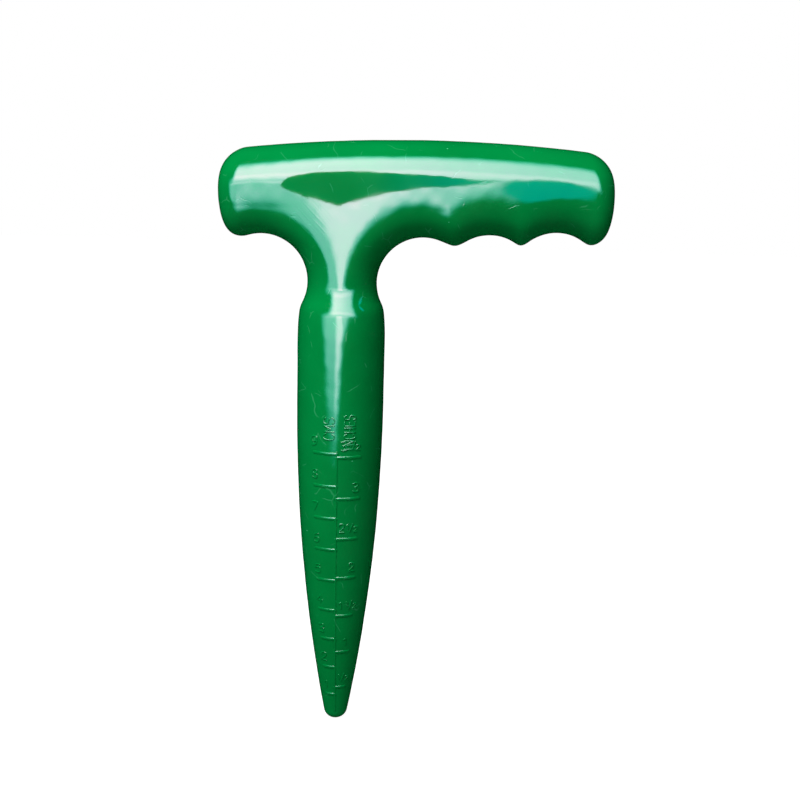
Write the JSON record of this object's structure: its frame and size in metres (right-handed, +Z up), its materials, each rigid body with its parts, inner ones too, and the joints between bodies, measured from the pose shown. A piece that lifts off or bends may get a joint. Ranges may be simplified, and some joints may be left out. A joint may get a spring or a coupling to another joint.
{
  "type": "hand dibber",
  "caption": "T-handled hand dibber: a tapered round shank with a raised depth scale, under a cross handle with finger grooves.",
  "frame": {"origin": "the tip of the shank, on its axis", "axes": "+Z up the shank's axis to the handle, +X along the handle towards its long arm, -Y out of the front face that carries the scale"},
  "size_m": [0.113, 0.0262, 0.18],
  "materials": {
    "green_plastic": "glossy moulded polypropylene, lightly scuffed"
  },
  "bodies": {
    "root": {"front_shell": "green_plastic", "rear_shell": "green_plastic"}
  },
  "joints": []
}
